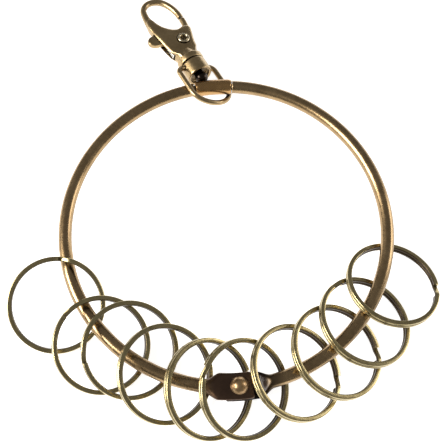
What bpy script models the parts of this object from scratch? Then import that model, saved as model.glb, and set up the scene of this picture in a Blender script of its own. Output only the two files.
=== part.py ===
"""Hinged key hoop: two hoop arms on a rivet hinge, ten split rings threaded on the hoop, and a swivel snap
clasp that hangs on it by a bail. The object lies flat, as on a table.

Frame: metres, +Z up, the origin on the table under the middle of the object's box. Every piece is placed
from the hoop's centre, and the clasp's pieces from the point where the bail goes round the hoop.
"""

import math

import bpy
import bmesh
from mathutils import Matrix, Vector

MM = 0.001

# Driving dimensions
HOOP_OUTER_D = 100 * MM
TUBE_D = 4 * MM
HOOP_R = (HOOP_OUTER_D - TUBE_D) / 2
HOOP_HEIGHT = 6 * MM  # of the tube's axis above the table: the tilted rings carry it
HOOP_X, HOOP_Y = 0.106 * MM, -10.48 * MM  # puts the origin under the middle of the box
FIT_GAP = 0.3 * MM

# Hinge at the bottom of the hoop
HINGE_ANGLE = -85.3  # degrees round the hoop from +X
TAB_WIDTH = 7.6 * MM
TAB_THICKNESS = 1.6 * MM
TAB_LAYER = TAB_THICKNESS / 2 + FIT_GAP / 2  # of a tab's middle above or below the tube's axis
TAB_REACH = 3.7 * MM  # past the rivet
TAB_FLAT = 5.5 * MM  # along the hoop from the rivet
TAB_END = 9.5 * MM  # where the tab has become round again
RIVET_D = 2.4 * MM
RIVET_HEAD_D = 5 * MM
RIVET_HEAD_H = 1.8 * MM
RIVET_FOOT_D = 4.4 * MM
RIVET_FOOT_H = 0.7 * MM

# Closure at the top of the hoop
MOUTH_ANGLE = 88.0
SLEEVE_D = 4.8 * MM
SLEEVE_BORE_D = 3.2 * MM
SLEEVE_LENGTH = 11.6 * MM
PEG_D = 2 * MM
PEG_LENGTH = 4 * MM
SPIGOT_D = 2.6 * MM
SPIGOT_LENGTH = 3 * MM

# Split rings: a flat-sided wire wound twice
RING_OUTER_D = 28 * MM
RING_BAND = 1.4 * MM
WIRE_HEIGHT = 1.05 * MM
TURN_GAP = 0.1 * MM
RING_THICKNESS = 2 * WIRE_HEIGHT + TURN_GAP
STEP_ANGLE = 16.0  # degrees in which the wire steps from one turn to the next
RING_STEPS = 30  # points a turn
# place on the hoop, tilt, turn of the tilt from the hoop's direction (degrees), how far the ring's centre
# lies outside the tube's axis, how far its low edge is above the table (mm), place of the step (degrees)
RING_PLACES = (
    (-153.3, 20.0, -7.0, 6.6, 0.0, 46),
    (-134.0, 21.5, 16.0, 2.4, 0.0, 61),
    (-125.5, 21.5, 7.5, -1.7, 0.0, 113),
    (-110.3, 25.0, 2.0, -0.3, 0.8, 20),
    (-95.0, 34.0, -7.5, 1.2, 0.0, 285),
    (-83.7, 31.0, -23.5, 1.1, 0.0, 75),
    (-65.8, 25.7, -11.0, 0.2, 0.4, 235),
    (-50.3, 23.2, -22.5, 1.1, 0.0, 240),
    (-36.0, 21.5, -23.0, 1.2, 0.0, 349),
    (-19.8, 18.6, -16.5, 3.7, 0.1, 196),
)

# Clasp: distances along it are from the hoop's tube, and +X is its right side
CLASP_ANGLE = 97.0  # place on the hoop
CLASP_HEADING = 30.0  # degrees to the left of +Y
CLASP_PITCH = -4.5  # its tip lies on the table
BAIL_TURN = 32.0
CLASP_DROP = 0.4 * MM  # of the clasp's axis below the tube's axis
HOOK_TURN = 10.0
BAIL_WIRE_D = 1.9 * MM
BAIL_HALF_WIDTH = 7.3 * MM
BAIL_BOTTOM = -6.3 * MM
BAIL_BEND_START = -0.3 * MM
BAIL_SHOULDER = 9.3 * MM
BAIL_CORNER = 2.2 * MM
HUB_D = 8.4 * MM
HUB_LOW, HUB_HIGH = 6.9 * MM, 10.7 * MM
HUB_BORE_D = 3.0 * MM
STEM_D = 2.4 * MM
BALL_D = 4.2 * MM
BALL_LOW = 2.85 * MM
STEM_TOP = 14.4 * MM
FLANGE_D = 8.6 * MM
FLANGE_LOW, FLANGE_HIGH = 11.0 * MM, 13.2 * MM
SEAT_TOP = 15.4 * MM  # the solid foot of the hook's body ends here, and the slot begins
BODY_THICKNESS = 5 * MM
SLOT_HEIGHT = 2.6 * MM
SLOT_TOP = 26.7 * MM
PIVOT = Vector((1.4 * MM, 20.1 * MM, 0))
PIVOT_PIN_D = 2 * MM
PIVOT_HEAD_D = 3.9 * MM
PIVOT_HEAD_H = 0.5 * MM
LEVER_THICKNESS = 1.9 * MM
GATE_D = 2.1 * MM
SPRING_D = 2.0 * MM
SPRING_WIRE_D = 0.4 * MM
SPRING_X = -3.6 * MM
SPRING_LOW, SPRING_HIGH = 15.9 * MM, 20.4 * MM
SPRING_TURNS = 5

# The hook's body, seen from its front: up its right side, round the eye and down its left side, in mm
BODY_OUTLINE = (
    (4.2, 12.6), (4.6, 14.6), (4.7, 17.6), (5.3, 20.2), (6.0, 22.4), (6.5, 24.4), (6.2, 25.4), (5.2, 25.9),
    (3.8, 25.8), (2.6, 25.3), (1.6, 25.1), (0.4, 25.5), (-0.8, 26.6), (-1.9, 28.1), (-2.9, 30.2),
    (-6.4, 30.6), (-6.3, 27.6), (-5.9, 24.0), (-5.3, 19.6), (-4.6, 15.6), (-4.2, 12.6),
)
# The hook's round wire from the body to its nose: x, distance along the clasp, radius, in mm
HOOK_WIRE = (
    (-4.4, 28.6, 1.7), (-4.85, 31.5, 1.6), (-4.8, 34.9, 1.2), (-4.1, 37.9, 1.1), (-2.2, 39.8, 1.1),
    (0.5, 40.2, 1.1), (3.1, 39.0, 1.1), (4.9, 36.2, 1.1), (5.8, 33.0, 1.1), (5.95, 30.4, 1.05),
)
# The gate's lever plate from the pivot, in mm
LEVER_OUTLINE = (
    (2.5, 0.4), (3.5, 2.6), (4.5, 4.6), (3.4, 5.0), (1.7, 3.6), (0.0, 2.6), (-2.4, 3.4), (-5.2, 4.9),
    (-7.4, 6.1), (-9.2, 6.1), (-10.4, 5.0), (-10.4, 3.4), (-9.0, 2.2), (-6.6, 1.8), (-3.8, 0.9),
    (-2.6, 0.3), (-1.9, -1.2), (-0.7, -2.3), (1.0, -2.3), (2.2, -1.2),
)
GATE_BAR = ((4.0, 4.6), (4.45, 7.0), (4.65, 9.6))

SEGMENTS = 24
BRASS = (0.33, 0.25, 0.13)
BRONZE = (0.27, 0.18, 0.10)
DARK_BRONZE = (0.07, 0.05, 0.04)
STEEL = (0.45, 0.43, 0.40)


def clear_scene():
    for obj in list(bpy.data.objects):
        bpy.data.objects.remove(obj, do_unlink=True)


def new_collection(name):
    collection = bpy.data.collections.new(name)
    bpy.context.scene.collection.children.link(collection)
    return collection


def new_material(name, colour, roughness):
    material = bpy.data.materials.new(name)
    material.use_nodes = True
    shader = material.node_tree.nodes["Principled BSDF"]
    shader.inputs["Base Color"].default_value = (*colour, 1)
    shader.inputs["Metallic"].default_value = 1.0
    shader.inputs["Roughness"].default_value = roughness
    material.diffuse_color = (*colour, 1)
    return material


def new_empty(name, location, rotation=None, parent=None):
    """A frame to place pieces in. Location and rotation are its own, in its parent's frame."""
    empty = bpy.data.objects.new(name, None)
    empty.empty_display_size = 5 * MM
    empty.matrix_local = Matrix.Translation(location) @ (rotation or Matrix.Identity(4))
    parts.objects.link(empty)
    if parent:
        empty.parent = parent
    return empty


def finish_piece(obj, parent, colour, roughness, location=(0, 0, 0), rotation=None):
    """Gives a piece its frame, place, material and smooth shading."""
    obj.parent = parent
    obj.matrix_local = Matrix.Translation(location) @ (rotation or Matrix.Identity(4))
    obj.data.materials.clear()
    obj.data.materials.append(new_material(obj.name, colour, roughness))
    if obj.type == "MESH":
        obj.data.shade_smooth()
        obj.data.set_sharp_from_angle(angle=math.radians(40))
    return obj


def hide_cutter(obj, parent):
    """Moves a cutter to its collection. It shares the frame of the piece that it cuts."""
    for collection in list(obj.users_collection):
        collection.objects.unlink(obj)
    cutters.objects.link(obj)
    obj.parent = parent
    obj.hide_render = True
    obj.display_type = "WIRE"
    return obj


def combine(obj, other, operation):
    modifier = obj.modifiers.new(operation.title(), "BOOLEAN")
    modifier.operation = operation
    modifier.solver = "EXACT"
    modifier.object = other


def poly_curve(name, points, depth, radii=None, resolution=2, cyclic=False):
    """A round wire along points. Radii scale its thickness at each point."""
    curve = bpy.data.curves.new(name, "CURVE")
    curve.dimensions = "3D"
    curve.twist_mode = "Z_UP"
    curve.bevel_depth = depth
    curve.bevel_resolution = resolution
    curve.use_fill_caps = not cyclic
    spline = curve.splines.new("POLY")
    spline.points.add(len(points) - 1)
    for index, point in enumerate(points):
        spline.points[index].co = (*point, 1)
        spline.points[index].radius = radii[index] if radii else 1.0
    spline.use_cyclic_u = cyclic
    obj = bpy.data.objects.new(name, curve)
    parts.objects.link(obj)
    return obj


def flat_outline(name, points, thickness):
    """A plate of this thickness about z = 0, from an outline in the XY plane."""
    curve = bpy.data.curves.new(name, "CURVE")
    curve.dimensions = "2D"
    curve.fill_mode = "BOTH"
    curve.extrude = thickness / 2
    spline = curve.splines.new("POLY")
    spline.points.add(len(points) - 1)
    for point, (x, y) in zip(spline.points, points):
        point.co = (x, y, 0, 1)
    spline.use_cyclic_u = True
    obj = bpy.data.objects.new(name, curve)
    parts.objects.link(obj)
    return as_mesh(obj)


def as_mesh(obj):
    """A curve made a mesh, with its caps welded to its sides."""
    bpy.context.view_layer.update()
    name = obj.name
    graph = bpy.context.evaluated_depsgraph_get()
    mesh = bpy.data.meshes.new_from_object(obj.evaluated_get(graph))
    matrix = obj.matrix_world.copy()
    bpy.data.objects.remove(obj, do_unlink=True)
    made = bmesh.new()
    made.from_mesh(mesh)
    bmesh.ops.remove_doubles(made, verts=made.verts, dist=1e-6)
    bmesh.ops.recalc_face_normals(made, faces=made.faces)
    made.to_mesh(mesh)
    made.free()
    mesh.name = name
    copy = bpy.data.objects.new(name, mesh)
    copy.matrix_world = matrix
    parts.objects.link(copy)
    return copy


def turned(name, profile, closed=False, steps=SEGMENTS):
    """A solid turned about Z. The profile's (radius, height) points run down its outer side."""
    mesh = bpy.data.meshes.new(name)
    count = len(profile)
    edges = [(i, i + 1) for i in range(count - 1)]
    if closed:
        edges.append((count - 1, 0))
    mesh.from_pydata([(radius, 0, height) for radius, height in profile], edges, [])
    obj = bpy.data.objects.new(name, mesh)
    parts.objects.link(obj)
    screw = obj.modifiers.new("Turn", "SCREW")
    screw.steps = steps
    screw.render_steps = steps
    screw.use_merge_vertices = True
    screw.merge_threshold = 1e-6
    return obj


def cylinder(name, radius, length, location, axis="Z"):
    """A cylinder centred at location, with its place in its mesh."""
    mesh = bpy.data.meshes.new(name)
    made = bmesh.new()
    bmesh.ops.create_cone(
        made, cap_ends=True, segments=SEGMENTS, radius1=radius, radius2=radius, depth=length
    )
    if axis == "Y":
        bmesh.ops.rotate(made, verts=made.verts, matrix=Matrix.Rotation(math.pi / 2, 3, "X"))
    bmesh.ops.translate(made, verts=made.verts, vec=location)
    made.to_mesh(mesh)
    made.free()
    obj = bpy.data.objects.new(name, mesh)
    parts.objects.link(obj)
    return obj


def box(name, low, high):
    """A box between two corners, with its place in its mesh."""
    mesh = bpy.data.meshes.new(name)
    made = bmesh.new()
    bmesh.ops.create_cube(made, size=1)
    low, high = Vector(low), Vector(high)
    bmesh.ops.scale(made, verts=made.verts, vec=high - low)
    bmesh.ops.translate(made, verts=made.verts, vec=(low + high) / 2)
    made.to_mesh(mesh)
    made.free()
    obj = bpy.data.objects.new(name, mesh)
    parts.objects.link(obj)
    return obj


def arc_profile(centre, radius, start, end, count):
    """(radius, height) points on an arc of a turned profile, between two angles in degrees."""
    angles = [math.radians(start + (end - start) * i / count) for i in range(count + 1)]
    return [
        (max(centre[0] + radius * math.cos(a), 0.0), centre[1] + radius * math.sin(a)) for a in angles
    ]


def smooth_path(points, steps):
    """Points on a Catmull-Rom curve through the given ones. Every coordinate is interpolated."""
    points = [Vector(point) for point in points]
    ends = [2 * points[0] - points[1], *points, 2 * points[-1] - points[-2]]
    path = []
    for a, b, c, d in zip(ends, ends[1:], ends[2:], ends[3:]):
        for step in range(steps):
            t = step / steps
            cubic = 3 * b - a - 3 * c + d
            path.append(0.5 * (2 * b + (c - a) * t + (2 * a - 5 * b + 4 * c - d) * t**2 + cubic * t**3))
    return [*path, points[-1]]


def smoothstep(value):
    value = min(max(value, 0.0), 1.0)
    return value * value * (3 - 2 * value)


def on_hoop(angle, height=0.0, radius=HOOP_R):
    """The point at this angle (degrees) round the hoop, from its centre."""
    turn = math.radians(angle)
    return Vector((radius * math.cos(turn), radius * math.sin(turn), height))


def arc_angle(length):
    """Degrees round the hoop for a length along the tube's axis."""
    return math.degrees(length / HOOP_R)


# Hoop


def press_tab(obj, side):
    """Flattens an arm's hinge end into a wide tab, side +1 above the tube's axis and -1 below it."""
    for vertex in obj.data.vertices:
        x, y, z = vertex.co
        angle = math.degrees(math.atan2(y, x))
        reach = math.radians(abs((angle - HINGE_ANGLE + 180) % 360 - 180)) * HOOP_R
        amount = 1 - smoothstep((reach - TAB_FLAT) / (TAB_END - TAB_FLAT))
        outward = math.hypot(x, y) - HOOP_R
        scale = math.hypot(outward, z) / (TUBE_D / 2)
        around = math.atan2(z, outward)
        wide = math.copysign(abs(math.cos(around)) ** 0.6, math.cos(around)) * scale * TAB_WIDTH / 2
        tall = max(-1.0, min(1.0, 1.6 * math.sin(around))) * TAB_THICKNESS / 2 + side * TAB_LAYER
        new = on_hoop(angle, z + (tall - z) * amount, HOOP_R + outward + (wide - outward) * amount)
        vertex.co = new


def hoop_arm(name, side, frame):
    """One arm from its tab's end to its reduced end in the closure: side +1 is the left arm."""
    way = -side  # the left arm runs clockwise from the hinge
    if side > 0:
        shoulder = MOUTH_ANGLE + arc_angle(FIT_GAP + SLEEVE_LENGTH + FIT_GAP) - 360
        reduced, reduced_d = SPIGOT_LENGTH, SPIGOT_D
    else:
        shoulder = MOUTH_ANGLE
        reduced, reduced_d = PEG_LENGTH, PEG_D
    start = HINGE_ANGLE - way * arc_angle(TAB_REACH)
    tab_end = HINGE_ANGLE + way * arc_angle(TAB_END)
    near = 13
    far = 40
    angles = [start + (tab_end - start) * i / near for i in range(near)]
    angles += [tab_end + (shoulder - tab_end) * i / far for i in range(far)]
    radii = [0.86] + [1.0] * (len(angles) - 1)
    chamfer = arc_angle(FIT_GAP)
    tip = arc_angle(reduced)
    angles += [shoulder - way * chamfer, shoulder, shoulder + way * tip * 0.75, shoulder + way * tip]
    ratio = reduced_d / TUBE_D
    radii += [1.0, 0.88, ratio, ratio * 0.7]
    angles.insert(-2, shoulder + way * chamfer / 10)
    radii.insert(-2, ratio)
    curve = poly_curve(name, [on_hoop(a) for a in angles], TUBE_D / 2, radii, resolution=4)
    arm = as_mesh(curve)
    press_tab(arm, side)
    bore = cylinder(name + "_pivot_hole", RIVET_D / 2 + FIT_GAP, 4 * TUBE_D, on_hoop(HINGE_ANGLE))
    combine(arm, hide_cutter(bore, frame), "DIFFERENCE")
    return arm


def make_hoop(centre):
    pivot = on_hoop(HINGE_ANGLE)
    left = hoop_arm("hoop_left_arm", 1, centre)
    finish_piece(left, centre, BRONZE, 0.42)

    hinge = new_empty("hinge_axis", pivot, parent=centre)
    right = hoop_arm("hoop_right_arm", -1, centre)
    right.data.transform(Matrix.Translation(-pivot))
    finish_piece(right, hinge, BRONZE, 0.42)

    top = TAB_LAYER + TAB_THICKNESS / 2
    under_head = top + FIT_GAP / 2
    sphere = (RIVET_HEAD_D**2 / 4 + RIVET_HEAD_H**2) / (2 * RIVET_HEAD_H)
    edge = math.degrees(math.asin((sphere - RIVET_HEAD_H) / sphere))
    dome = arc_profile((0, under_head + RIVET_HEAD_H - sphere), sphere, 90, edge, 6)
    foot = -under_head
    profile = [
        *dome, (RIVET_D / 2, under_head), (RIVET_D / 2, foot), (RIVET_FOOT_D / 2, foot),
        (RIVET_FOOT_D / 2 - 0.3 * MM, foot - RIVET_FOOT_H), (0, foot - RIVET_FOOT_H),
    ]
    finish_piece(turned("hinge_rivet", profile), centre, BRASS, 0.25, pivot)

    first = MOUTH_ANGLE + arc_angle(FIT_GAP)
    angles = [first + arc_angle(SLEEVE_LENGTH) * i / 6 for i in range(7)]
    outer = [angles[0], angles[0] + 0.4, *angles[1:-1], angles[-1] - 0.4, angles[-1]]
    radii = [0.9, 1.0, *[1.0] * 5, 1.0, 0.9]
    sleeve = as_mesh(
        poly_curve("closure_sleeve", [on_hoop(a) for a in outer], SLEEVE_D / 2, radii, resolution=4)
    )
    past = [angles[0] - 1, *angles, angles[-1] + 1]
    bore = as_mesh(poly_curve("sleeve_bore", [on_hoop(a) for a in past], SLEEVE_BORE_D / 2, resolution=4))
    combine(sleeve, hide_cutter(bore, centre), "DIFFERENCE")
    finish_piece(sleeve, centre, BRONZE, 0.35)


# Split rings


def wire_section():
    """The flat-sided wire's section, which the rings' curves sweep."""
    curve = bpy.data.curves.new("wire_section", "CURVE")
    curve.dimensions = "2D"
    spline = curve.splines.new("POLY")
    half_band, half_height = RING_BAND / 2, WIRE_HEIGHT / 2
    corners = ((-half_band, -half_height), (-half_band, half_height), (half_band, half_height),
               (half_band, -half_height))
    spline.points.add(len(corners) - 1)
    for point, corner in zip(spline.points, corners):
        point.co = (*corner, 0, 1)
    spline.use_cyclic_u = True
    obj = bpy.data.objects.new("wire_section", curve)
    parts.objects.link(obj)
    return obj


def split_ring(name, section):
    """Two flat turns joined by one step, about the object's own Z axis. The step is centred on +X."""
    radius = (RING_OUTER_D - RING_BAND) / 2
    level = (WIRE_HEIGHT + TURN_GAP) / 2
    end = STEP_ANGLE / 2
    flat = [end + (360 - 2 * end) * i / (RING_STEPS - 2) for i in range(RING_STEPS - 1)]
    step = [360 - end + STEP_ANGLE * i / 4 for i in range(1, 4)]
    angles = flat + step + [angle + 360 for angle in flat]
    points = []
    for angle in angles:
        rise = smoothstep((angle - (360 - end)) / STEP_ANGLE)
        turn = math.radians(angle)
        points.append((radius * math.cos(turn), radius * math.sin(turn), level * (2 * rise - 1)))
    ring = poly_curve(name, points, 0)
    ring.data.bevel_mode = "OBJECT"
    ring.data.bevel_object = section
    return ring


def ring_frame(place):
    """The ring's matrix from the hoop's centre: its own Z is its axis, and its X points to the step."""
    angle, tilt, turn, outward, lift, step = place
    lean = math.radians(tilt)
    heading = math.radians(angle + 90 + turn)
    axis = Vector((math.sin(lean) * math.cos(heading), math.sin(lean) * math.sin(heading), math.cos(lean)))
    rise = RING_OUTER_D / 2 * math.sin(lean) + RING_THICKNESS / 2 * math.cos(lean) + lift * MM
    across = Vector((0, 0, 1)).cross(axis).normalized()
    uphill = axis.cross(across)
    bearing = math.radians(step)
    x_axis = across * math.cos(bearing) + uphill * math.sin(bearing)
    rotation = Matrix((x_axis, axis.cross(x_axis), axis)).transposed().to_4x4()
    return on_hoop(angle, rise - HOOP_HEIGHT, HOOP_R + outward * MM), rotation


def make_rings(centre):
    section = hide_cutter(wire_section(), centre)
    for index, place in enumerate(RING_PLACES, start=1):
        location, rotation = ring_frame(place)
        ring = split_ring(f"split_ring_{index:02d}", section)
        finish_piece(ring, centre, BRASS, 0.3, location, rotation)


# Clasp


def make_bail(frame):
    """The loop of wire round the hoop and the collar that the swivel pin turns in."""
    corner = BAIL_CORNER
    arm = [(-HUB_D / 4, BAIL_SHOULDER), (-BAIL_HALF_WIDTH + corner, BAIL_SHOULDER)]
    arm += [
        (-BAIL_HALF_WIDTH + corner - corner * math.sin(a), BAIL_SHOULDER - corner + corner * math.cos(a))
        for a in (math.radians(22.5 * i) for i in range(1, 5))
    ]
    depth = BAIL_BEND_START - BAIL_BOTTOM
    bend = [
        (-BAIL_HALF_WIDTH * math.cos(a), BAIL_BEND_START - depth * math.sin(a))
        for a in (math.radians(15 * i) for i in range(13))
    ]
    path = arm + bend + [(-x, y) for x, y in reversed(arm)]
    loop = as_mesh(poly_curve("swivel_bail", [(x, y, 0) for x, y in path], BAIL_WIRE_D / 2))
    middle = Vector((0, (HUB_LOW + HUB_HIGH) / 2, 0))
    chamfer = 0.4 * MM
    half = (HUB_HIGH - HUB_LOW) / 2
    hub = turned(
        "bail_collar",
        [
            (0, half), (HUB_D / 2 - chamfer, half), (HUB_D / 2, half - chamfer),
            (HUB_D / 2, chamfer - half), (HUB_D / 2 - chamfer, -half), (0, -half),
        ],
    )
    hide_cutter(hub, frame)
    hub.matrix_local = Matrix.Translation(middle) @ Matrix.Rotation(-math.pi / 2, 4, "X")
    combine(loop, hub, "UNION")
    bore = cylinder("collar_bore", HUB_BORE_D / 2, 2 * HUB_D, middle, axis="Y")
    combine(loop, hide_cutter(bore, frame), "DIFFERENCE")
    return finish_piece(loop, frame, BRASS, 0.25)


def make_swivel_pin(frame):
    """The stem that turns in the collar, with its rounded end inside the bail."""
    radius = BALL_D / 2
    reach = math.degrees(math.acos(STEM_D / BALL_D))
    ball = arc_profile((0, BALL_LOW + radius), radius, reach, -90, 7)
    profile = [(0, STEM_TOP), (STEM_D / 2 - 0.2 * MM, STEM_TOP), (STEM_D / 2, STEM_TOP - 0.2 * MM), *ball]
    pin = turned("swivel_pin", profile, steps=16)
    finish_piece(pin, frame, DARK_BRONZE, 0.35, rotation=Matrix.Rotation(-math.pi / 2, 4, "X"))


def hook_parts(frame):
    """The solids that are joined to the body's plate, and the ones that are cut from it."""
    chamfer = 0.3 * MM
    flange = turned(
        "hook_flange",
        [
            (0, SEAT_TOP + 1.6 * MM), (2.9 * MM, SEAT_TOP + 1.6 * MM), (3.3 * MM, SEAT_TOP - 0.6 * MM),
            (3.6 * MM, FLANGE_HIGH), (FLANGE_D / 2 - chamfer, FLANGE_HIGH),
            (FLANGE_D / 2, FLANGE_HIGH - chamfer), (FLANGE_D / 2, FLANGE_LOW + chamfer),
            (FLANGE_D / 2 - chamfer, FLANGE_LOW), (0, FLANGE_LOW),
        ],
    )
    hide_cutter(flange, frame)
    flange.matrix_local = Matrix.Rotation(-math.pi / 2, 4, "X")
    wire_path = smooth_path([(x * MM, y * MM, radius) for x, y, radius in HOOK_WIRE], 3)
    radii = [point.z for point in wire_path]
    wire = as_mesh(poly_curve("hook_wire", [(p.x, p.y, 0) for p in wire_path], MM, radii))
    reach = 12 * MM
    half = SLOT_HEIGHT / 2
    slot = box("body_slot", (-reach, SEAT_TOP, -half), (reach, SLOT_TOP, half))
    seat = cylinder(
        "stem_seat", STEM_D / 2 + FIT_GAP, 2 * (STEM_TOP + FIT_GAP - FLANGE_LOW),
        Vector((0, FLANGE_LOW, 0)), axis="Y",
    )
    hole = cylinder("pivot_hole", PIVOT_PIN_D / 2 + FIT_GAP, 2 * BODY_THICKNESS, PIVOT)
    joined = (flange, hide_cutter(wire, frame))
    removed = tuple(hide_cutter(cutter, frame) for cutter in (slot, seat, hole))
    return joined, removed


def make_hook(frame):
    body = flat_outline("hook_body", [(x * MM, y * MM) for x, y in BODY_OUTLINE], BODY_THICKNESS)
    joined, removed = hook_parts(frame)
    for solid in joined:
        combine(body, solid, "UNION")
    for solid in removed:
        combine(body, solid, "DIFFERENCE")
    finish_piece(body, frame, BRASS, 0.3)

    shoulder = BODY_THICKNESS / 2 + FIT_GAP / 2
    head = shoulder + PIVOT_HEAD_H
    pin, rim = PIVOT_PIN_D / 2, PIVOT_HEAD_D / 2
    half = [(0, head - 0.25 * MM), (pin, head - 0.15 * MM), (pin + 0.4 * MM, head),
            (rim - 0.2 * MM, head), (rim, head - 0.2 * MM), (rim, shoulder), (pin, shoulder)]
    profile = half + [(radius, -height) for radius, height in reversed(half)]
    finish_piece(turned("gate_rivet", profile, steps=20), frame, BRASS, 0.2, PIVOT)

    count = SPRING_TURNS * 10
    coil = (SPRING_D - SPRING_WIRE_D) / 2
    rise = SPRING_HIGH - SPRING_LOW
    points = [
        (SPRING_X + coil * math.cos(2 * math.pi * i / 10), SPRING_LOW + rise * i / count,
         coil * math.sin(2 * math.pi * i / 10))
        for i in range(count + 1)
    ]
    spring = poly_curve("gate_spring", points, SPRING_WIRE_D / 2, resolution=1)
    spring.data.twist_mode = "MINIMUM"
    finish_piece(spring, frame, STEEL, 0.3)


def make_gate(frame):
    """The gate bar and thumb lever in one piece, about the pivot."""
    lever = flat_outline("hook_gate", [(x * MM, y * MM) for x, y in LEVER_OUTLINE], LEVER_THICKNESS)
    path = smooth_path([(x * MM, y * MM, 0) for x, y in GATE_BAR], 3)
    radii = [0.85, *[1.0] * (len(path) - 2), 0.9]
    bar = as_mesh(poly_curve("gate_bar", path, GATE_D / 2, radii))
    combine(lever, hide_cutter(bar, frame), "UNION")
    hole = cylinder("gate_hole", PIVOT_PIN_D / 2 + FIT_GAP, 2 * BODY_THICKNESS, Vector((0, 0, 0)))
    combine(lever, hide_cutter(hole, frame), "DIFFERENCE")
    finish_piece(lever, frame, BRASS, 0.3)


def make_clasp(centre):
    heading = Matrix.Rotation(math.radians(CLASP_HEADING), 4, "Z")
    pitch = Matrix.Rotation(math.radians(CLASP_PITCH), 4, "X")
    swing = new_empty("clasp_axis", on_hoop(CLASP_ANGLE, -CLASP_DROP), heading @ pitch, centre)
    bail_turn = Matrix.Rotation(math.radians(BAIL_TURN), 4, "Y")
    hook_turn = Matrix.Rotation(math.radians(HOOK_TURN), 4, "Y")
    bail_frame = new_empty("bail_turn", (0, 0, 0), bail_turn, swing)
    hook_frame = new_empty("hook_turn", (0, 0, 0), hook_turn, swing)
    gate_frame = new_empty("gate_pivot", PIVOT, parent=hook_frame)
    make_bail(bail_frame)
    make_swivel_pin(hook_frame)
    make_hook(hook_frame)
    make_gate(gate_frame)


clear_scene()
parts = new_collection("key_hoop")
cutters = new_collection("cutters")
hoop_centre = new_empty("hoop_centre", (HOOP_X, HOOP_Y, HOOP_HEIGHT))
make_hoop(hoop_centre)
make_rings(hoop_centre)
make_clasp(hoop_centre)
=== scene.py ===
"""Looks of a hinged key hoop with split rings and a swivel snap clasp.

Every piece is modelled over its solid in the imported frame, in metres, and takes that solid's place.
"""

import logging
import math
from dataclasses import dataclass, field, replace
from enum import Enum

import bmesh
import bpy
from mathutils import Matrix, Vector


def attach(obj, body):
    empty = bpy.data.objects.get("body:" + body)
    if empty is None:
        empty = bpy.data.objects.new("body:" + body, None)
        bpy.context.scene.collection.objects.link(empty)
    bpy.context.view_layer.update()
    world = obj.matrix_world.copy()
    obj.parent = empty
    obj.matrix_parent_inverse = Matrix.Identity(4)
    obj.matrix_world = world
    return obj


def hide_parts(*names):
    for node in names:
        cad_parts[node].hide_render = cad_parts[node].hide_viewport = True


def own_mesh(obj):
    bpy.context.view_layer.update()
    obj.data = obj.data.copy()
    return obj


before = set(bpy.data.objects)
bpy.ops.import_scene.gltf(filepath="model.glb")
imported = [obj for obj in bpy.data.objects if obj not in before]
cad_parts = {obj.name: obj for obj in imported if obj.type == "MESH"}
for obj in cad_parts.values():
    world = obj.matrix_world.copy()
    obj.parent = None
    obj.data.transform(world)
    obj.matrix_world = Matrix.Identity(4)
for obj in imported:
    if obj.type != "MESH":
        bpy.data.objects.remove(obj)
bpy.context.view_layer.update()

log = logging.getLogger("key_hoop")

MM = 0.001
FIT_GAP = 0.3 * MM
Colour = tuple[float, float, float]
Place = tuple[float, float, float]
Points = list[Vector]
Tree = bpy.types.ShaderNodeTree
Socket = bpy.types.NodeSocket


class Body(Enum):
    """The moving bodies of the frame that hold more than one piece or stand alone."""

    HOOP_LEFT = "hoop_left"
    HOOP_RIGHT = "hoop_right"
    BAIL = "bail"
    HOOK = "hook"
    GATE = "gate"


class Slot(Enum):
    """The material slots of the record."""

    HOOP = "hoop"
    RIVET = "hinge_rivet"
    SLEEVE = "sleeve"
    RINGS = "rings"
    CLASP = "clasp"
    PIN = "swivel_pin"
    SPRING = "spring"


class Side(Enum):
    """Which arm of the hoop, as its tab's layer over the tube's axis."""

    LEFT = 1
    RIGHT = -1


# Small geometry helpers


def smoothstep(value: float) -> float:
    """Eases a value from 0 to 1, and holds it there outside that range."""
    value = min(max(value, 0.0), 1.0)
    return value * value * (3 - 2 * value)


def smooth_path(points: list[tuple[float, ...]], steps: int, closed: bool = False) -> Points:
    """Finds points on a Catmull-Rom curve.

    Args:
        points: The points that the curve goes through, each of two or three numbers.
        steps: The number of steps between two of them.
        closed: Whether the curve comes back to its first point.

    Returns:
        The curve's points. Every number of a point is interpolated.
    """
    given = [Vector(point) for point in points]
    if closed:
        ends = [given[-1], *given, given[0], given[1]]
    else:
        ends = [2 * given[0] - given[1], *given, 2 * given[-1] - given[-2]]
    path = []
    for a, b, c, d in zip(ends, ends[1:], ends[2:], ends[3:]):
        for step in range(steps):
            t = step / steps
            cubic = 3 * b - a - 3 * c + d
            path.append(0.5 * (2 * b + (c - a) * t + (2 * a - 5 * b + 4 * c - d) * t**2 + cubic * t**3))
    return path if closed else [*path, given[-1]]


# Bench work: the operators that the makers share


def deselect() -> None:
    """Leaves object mode with nothing selected."""
    if bpy.context.mode != "OBJECT":
        bpy.ops.object.mode_set(mode="OBJECT")
    bpy.ops.object.select_all(action="DESELECT")


def pick(obj: bpy.types.Object) -> None:
    """Selects this object alone and makes it active.

    Args:
        obj: The object.
    """
    deselect()
    obj.select_set(True)
    bpy.context.view_layer.objects.active = obj


def named(name: str) -> bpy.types.Object:
    """Names the active object and its data, and returns it.

    Args:
        name: The new name.

    Returns:
        The active object.
    """
    obj = bpy.context.view_layer.objects.active
    obj.name = name
    obj.data.name = name
    return obj


def apply_modifiers(obj: bpy.types.Object) -> None:
    """Applies all of the object's modifiers in order.

    Args:
        obj: The object.
    """
    pick(obj)
    for modifier in list(obj.modifiers):
        bpy.ops.object.modifier_apply(modifier=modifier.name)


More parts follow.
